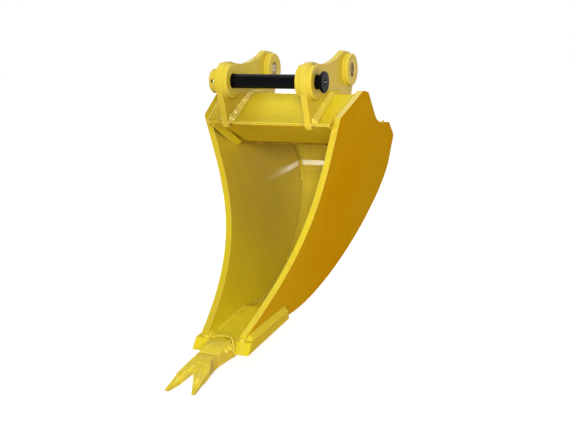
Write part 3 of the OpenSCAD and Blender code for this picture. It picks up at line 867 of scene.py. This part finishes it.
def tooth_top(y):
    """The height of the tooth's top at a place along it."""
    for (y0, z0), (y1, z1) in zip(TOOTH_TOP, TOOTH_TOP[1:]):
        if y1 <= y <= y0:
            return z0 + (z1 - z0) * (y0 - y) / (y0 - y1)


def ridge(name, start, end, wide, tall, mat):
    """A rounded ridge on the tooth's top, from one (across, along) place to another, in mm."""
    verts = []
    for i in range(RIDGE_STEPS + 1):
        t = i / RIDGE_STEPS
        x, y = Vector(start).lerp(Vector(end), t)
        z = tooth_top(y) - RIDGE_SUNK
        grow = math.sin(math.pi * (0.04 + 0.92 * t)) ** 0.6
        grow *= 1 + 0.3 * noise.noise(Vector((t * 4, x, 2.7)))
        for k in range(RIDGE_ARC + 1):
            q = math.pi * k / RIDGE_ARC
            spot = tooth_at + y * tooth_dir + (z + tall * grow * math.sin(q)) * tooth_up
            verts.append(yz(spot, x + wide / 2 * grow * math.cos(q)))
    make_piece(name, verts, tube_faces(RIDGE_STEPS + 1, RIDGE_ARC + 1), mat)


# Soft ridges along the tooth's two points, and the raised middle between them
ridge("tooth_ridge_left", (-15, -158), (-36, -250), wide=17, tall=5.5, mat=cast_paint)
ridge("tooth_ridge_right", (15, -158), (36, -250), wide=17, tall=5.5, mat=cast_paint)
ridge("tooth_hump", (-8, -160), (-17, -200), wide=22, tall=6, mat=weld_paint)

# Floor, world and lamps, in metres
FLOOR_HALF, FLOOR_DROP = 40.0, 0.004


def seen_rays(tree):
    """1 for the rays that show the background, direct, mirrored or let through, and 0 for the others."""
    rays = put(tree, "ShaderNodeLightPath").outputs
    straight = maths(tree, "MAXIMUM", rays["Is Camera Ray"], rays["Is Glossy Ray"])
    return maths(tree, "MAXIMUM", straight, rays["Is Transmission Ray"])


def choose_shader(tree, out_kind, other, seen):
    """Ends a node tree with one shader for the rays that show the background and another for the rest."""
    out = tree.nodes.new(out_kind)
    choice = put(tree, "ShaderNodeMixShader", {0: seen_rays(tree), 1: other, 2: seen})
    tree.links.new(choice.outputs[0], out.inputs[0])


def floor_look():
    """A warm matt floor for the light it throws back, seen as pale grey with a glow that grows outwards."""
    mat = bpy.data.materials.new("pale_floor")
    mat.use_nodes = True
    tree = mat.node_tree
    tree.nodes.clear()
    matt = put(tree, "ShaderNodeBsdfDiffuse", {"Color": (0.70, 0.52, 0.34, 1)})
    grey = put(tree, "ShaderNodeBsdfDiffuse", {"Color": (0.40, 0.40, 0.40, 1)})
    away = vector_maths(tree, "LENGTH", place_of(tree))["Value"]
    glow = put(tree, "ShaderNodeEmission", {"Color": (1, 1, 1, 1),
                                            "Strength": ramp(tree, away, 1.2, 3.2, 0.84, 1)})
    shown = put(tree, "ShaderNodeAddShader", {0: grey.outputs[0], 1: glow.outputs[0]})
    choose_shader(tree, "ShaderNodeOutputMaterial", matt.outputs[0], shown.outputs[0])
    return mat


def lay_floor():
    """A large floor just under the bucket's lowest place."""
    low = cad_box[0].z - FLOOR_DROP
    corners = [(x * FLOOR_HALF, y * FLOOR_HALF, low) for x, y in ((-1, -1), (1, -1), (1, 1), (-1, 1))]
    mesh = bpy.data.meshes.new("floor")
    mesh.from_pydata(corners, [], [(0, 1, 2, 3)])
    floor = bpy.data.objects.new("floor", mesh)
    scene.collection.objects.link(floor)
    floor.data.materials.append(floor_look())


def light_world():
    """A dim warm light from all sides, seen as plain white."""
    world = bpy.data.worlds.new("studio")
    scene.world = world
    world.use_nodes = True
    tree = world.node_tree
    tree.nodes.clear()
    dim = put(tree, "ShaderNodeBackground", {"Color": (1, 0.94, 0.84, 1), "Strength": 0.15})
    white = put(tree, "ShaderNodeBackground", {"Color": (1, 1, 1, 1), "Strength": 1.0})
    choose_shader(tree, "ShaderNodeOutputWorld", dim.outputs[0], white.outputs[0])


def lamp(name, watts, size, place, target, colour=(1, 1, 1)):
    """A soft rectangular lamp that looks at its target."""
    data = bpy.data.lights.new(name, "AREA")
    data.shape = "RECTANGLE"
    data.size, data.size_y = size
    data.energy = watts
    data.color = colour
    obj = bpy.data.objects.new(name, data)
    scene.collection.objects.link(obj)
    obj.location = place
    obj.rotation_mode = "QUATERNION"
    obj.rotation_quaternion = (Vector(target) - Vector(place)).to_track_quat("-Z", "Y")
    obj.visible_camera = False


lay_floor()
light_world()
MIDDLE = (0, 0.1, -0.4)
WARM, ORANGE = (1.0, 0.94, 0.86), (1.0, 0.38, 0.08)
lamp("top", 58, size=(3.2, 3.6), place=(-0.1, 0.2, 3.2), target=MIDDLE, colour=WARM)
lamp("front", 110, size=(4.1, 1.7), place=(3.0, -8.1, 0.1), target=MIDDLE)
lamp("low", 18, size=(1.4, 0.5), place=(1.5, -4.6, -0.72), target=(0, 0.7, -0.36))
lamp("window", 525, size=(1.2, 2.8), place=(3.36, -8.1, 1.6), target=(0, 0.4, -0.37))
lamp("side", 7, size=(2.0, 1.6), place=(3.2, 0.2, 0.2), target=(0, 0.2, -0.4), colour=ORANGE)
lamp("left", 34, size=(2.0, 1.6), place=(-3.4, 0.4, 0.3), target=(0, 0.2, -0.4))
lamp("rear", 45, size=(2.4, 1.2), place=(-0.8, 3.8, -0.1), target=MIDDLE)

scene.frame_set(1)
